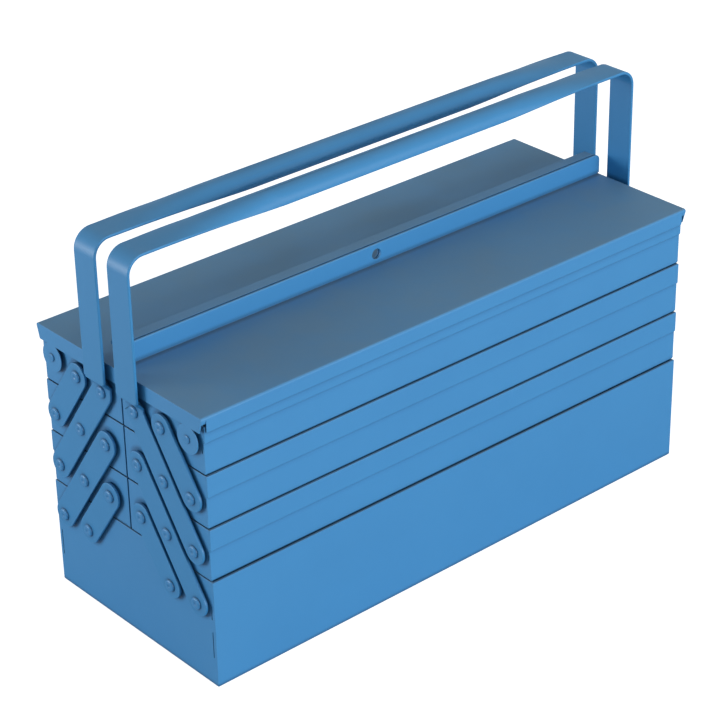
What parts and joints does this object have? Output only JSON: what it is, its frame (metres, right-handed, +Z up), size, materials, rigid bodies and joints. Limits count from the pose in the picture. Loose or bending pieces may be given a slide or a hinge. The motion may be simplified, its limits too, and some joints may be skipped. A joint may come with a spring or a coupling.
{
  "type": "cantilever tool box",
  "caption": "Folded sheet-steel tool box whose stacked trays spread apart on riveted arms, with hinged lids, a padlock flange and carrying handles.",
  "frame": {"origin": "centre of the underside of the base, on the surface the box stands on", "axes": "+X along the box's length to the right end, +Y towards the rear, +Z up"},
  "size_m": [0.52, 0.2024, 0.3435],
  "materials": {
    "blue_paint": "satin"
  },
  "bodies": {
    "base": {"base_box": "blue_paint", "base_rivets": "blue_paint", "base_washers": "blue_paint"},
    "main_arms_front": {"main_arm_front_left": "blue_paint", "main_arm_front_right": "blue_paint"},
    "lower_arms_front": {"lower_arm_front_left": "blue_paint", "lower_arm_front_right": "blue_paint"},
    "upper_arms_front": {"upper_arm_front_left": "blue_paint", "upper_arm_front_right": "blue_paint"},
    "low_tray_front": {"low_tray_front": "blue_paint", "low_tray_rivets_front": "blue_paint", "low_tray_washers_front": "blue_paint"},
    "middle_tray_front": {"middle_tray_front": "blue_paint", "middle_tray_rivets_front": "blue_paint", "middle_tray_washers_front": "blue_paint"},
    "handle_front": {"handle_front": "blue_paint"},
    "top_tray_front": {"top_tray_front": "blue_paint", "top_tray_rivets_front": "blue_paint", "top_tray_washers_front": "blue_paint", "lid_rivets_front": "blue_paint", "lid_spacers_front": "blue_paint"},
    "lid_front": {"lid_front": "blue_paint"},
    "main_arms_rear": {"main_arm_rear_left": "blue_paint", "main_arm_rear_right": "blue_paint"},
    "lower_arms_rear": {"lower_arm_rear_left": "blue_paint", "lower_arm_rear_right": "blue_paint"},
    "upper_arms_rear": {"upper_arm_rear_left": "blue_paint", "upper_arm_rear_right": "blue_paint"},
    "low_tray_rear": {"low_tray_rear": "blue_paint", "low_tray_rivets_rear": "blue_paint", "low_tray_washers_rear": "blue_paint"},
    "middle_tray_rear": {"middle_tray_rear": "blue_paint", "middle_tray_rivets_rear": "blue_paint", "middle_tray_washers_rear": "blue_paint"},
    "handle_rear": {"handle_rear": "blue_paint"},
    "top_tray_rear": {"top_tray_rear": "blue_paint", "top_tray_rivets_rear": "blue_paint", "top_tray_washers_rear": "blue_paint", "lid_rivets_rear": "blue_paint", "lid_spacers_rear": "blue_paint"},
    "lid_rear": {"lid_rear": "blue_paint"}
  },
  "joints": [
    {"name": "spread_front", "type": "hinge", "parent": "base", "child": "main_arms_front", "pos_m": [0, -0.084, 0.0708], "axis": [1, 0, 0], "range_deg": [0, 70]},
    {"name": "lower_arms_swing_front", "type": "hinge", "parent": "base", "child": "lower_arms_front", "pos_m": [0, -0.052, 0.0708], "axis": [1, 0, 0], "range_deg": [0, 70]},
    {"name": "low_tray_level_front", "type": "hinge", "parent": "main_arms_front", "child": "low_tray_front", "pos_m": [0, -0.052, 0.1163], "axis": [1, 0, 0], "range_deg": [-70, 0]},
    {"name": "middle_tray_level_front", "type": "hinge", "parent": "main_arms_front", "child": "middle_tray_front", "pos_m": [0, -0.02, 0.1618], "axis": [1, 0, 0], "range_deg": [-70, 0]},
    {"name": "handle_swing_front", "type": "hinge", "parent": "low_tray_front", "child": "handle_front", "pos_m": [0, -0.084, 0.1163], "axis": [1, 0, 0], "range_deg": [0, 70]},
    {"name": "upper_arms_swing_front", "type": "hinge", "parent": "middle_tray_front", "child": "upper_arms_front", "pos_m": [0, -0.084, 0.1618], "axis": [1, 0, 0], "range_deg": [0, 70]},
    {"name": "top_tray_level_front", "type": "hinge", "parent": "handle_front", "child": "top_tray_front", "pos_m": [0, -0.02, 0.2073], "axis": [1, 0, 0], "range_deg": [-70, 0]},
    {"name": "lid_hinge_front", "type": "hinge", "parent": "top_tray_front", "child": "lid_front", "pos_m": [0, -0.0836, 0.2112], "axis": [1, 0, 0], "range_deg": [0, 70]},
    {"name": "spread_rear", "type": "hinge", "parent": "base", "child": "main_arms_rear", "pos_m": [0, 0.084, 0.0708], "axis": [-1, 0, 0], "range_deg": [0, 70]},
    {"name": "lower_arms_swing_rear", "type": "hinge", "parent": "base", "child": "lower_arms_rear", "pos_m": [0, 0.052, 0.0708], "axis": [-1, 0, 0], "range_deg": [0, 70]},
    {"name": "low_tray_level_rear", "type": "hinge", "parent": "main_arms_rear", "child": "low_tray_rear", "pos_m": [0, 0.052, 0.1163], "axis": [-1, 0, 0], "range_deg": [-70, 0]},
    {"name": "middle_tray_level_rear", "type": "hinge", "parent": "main_arms_rear", "child": "middle_tray_rear", "pos_m": [0, 0.02, 0.1618], "axis": [-1, 0, 0], "range_deg": [-70, 0]},
    {"name": "handle_swing_rear", "type": "hinge", "parent": "low_tray_rear", "child": "handle_rear", "pos_m": [0, 0.084, 0.1163], "axis": [-1, 0, 0], "range_deg": [0, 70]},
    {"name": "upper_arms_swing_rear", "type": "hinge", "parent": "middle_tray_rear", "child": "upper_arms_rear", "pos_m": [0, 0.084, 0.1618], "axis": [-1, 0, 0], "range_deg": [0, 70]},
    {"name": "top_tray_level_rear", "type": "hinge", "parent": "handle_rear", "child": "top_tray_rear", "pos_m": [0, 0.02, 0.2073], "axis": [-1, 0, 0], "range_deg": [-70, 0]},
    {"name": "lid_hinge_rear", "type": "hinge", "parent": "top_tray_rear", "child": "lid_rear", "pos_m": [0, 0.0836, 0.2112], "axis": [-1, 0, 0], "range_deg": [0, 70]}
  ],
  "couplings": [
    {"joint": "lower_arms_swing_front", "follows": "spread_front", "ratio": 1},
    {"joint": "low_tray_level_front", "follows": "spread_front", "ratio": -1},
    {"joint": "middle_tray_level_front", "follows": "spread_front", "ratio": -1},
    {"joint": "handle_swing_front", "follows": "spread_front", "ratio": 1},
    {"joint": "upper_arms_swing_front", "follows": "spread_front", "ratio": 1},
    {"joint": "top_tray_level_front", "follows": "spread_front", "ratio": -1},
    {"joint": "lower_arms_swing_rear", "follows": "spread_rear", "ratio": 1},
    {"joint": "low_tray_level_rear", "follows": "spread_rear", "ratio": -1},
    {"joint": "middle_tray_level_rear", "follows": "spread_rear", "ratio": -1},
    {"joint": "handle_swing_rear", "follows": "spread_rear", "ratio": 1},
    {"joint": "upper_arms_swing_rear", "follows": "spread_rear", "ratio": 1},
    {"joint": "top_tray_level_rear", "follows": "spread_rear", "ratio": -1}
  ]
}
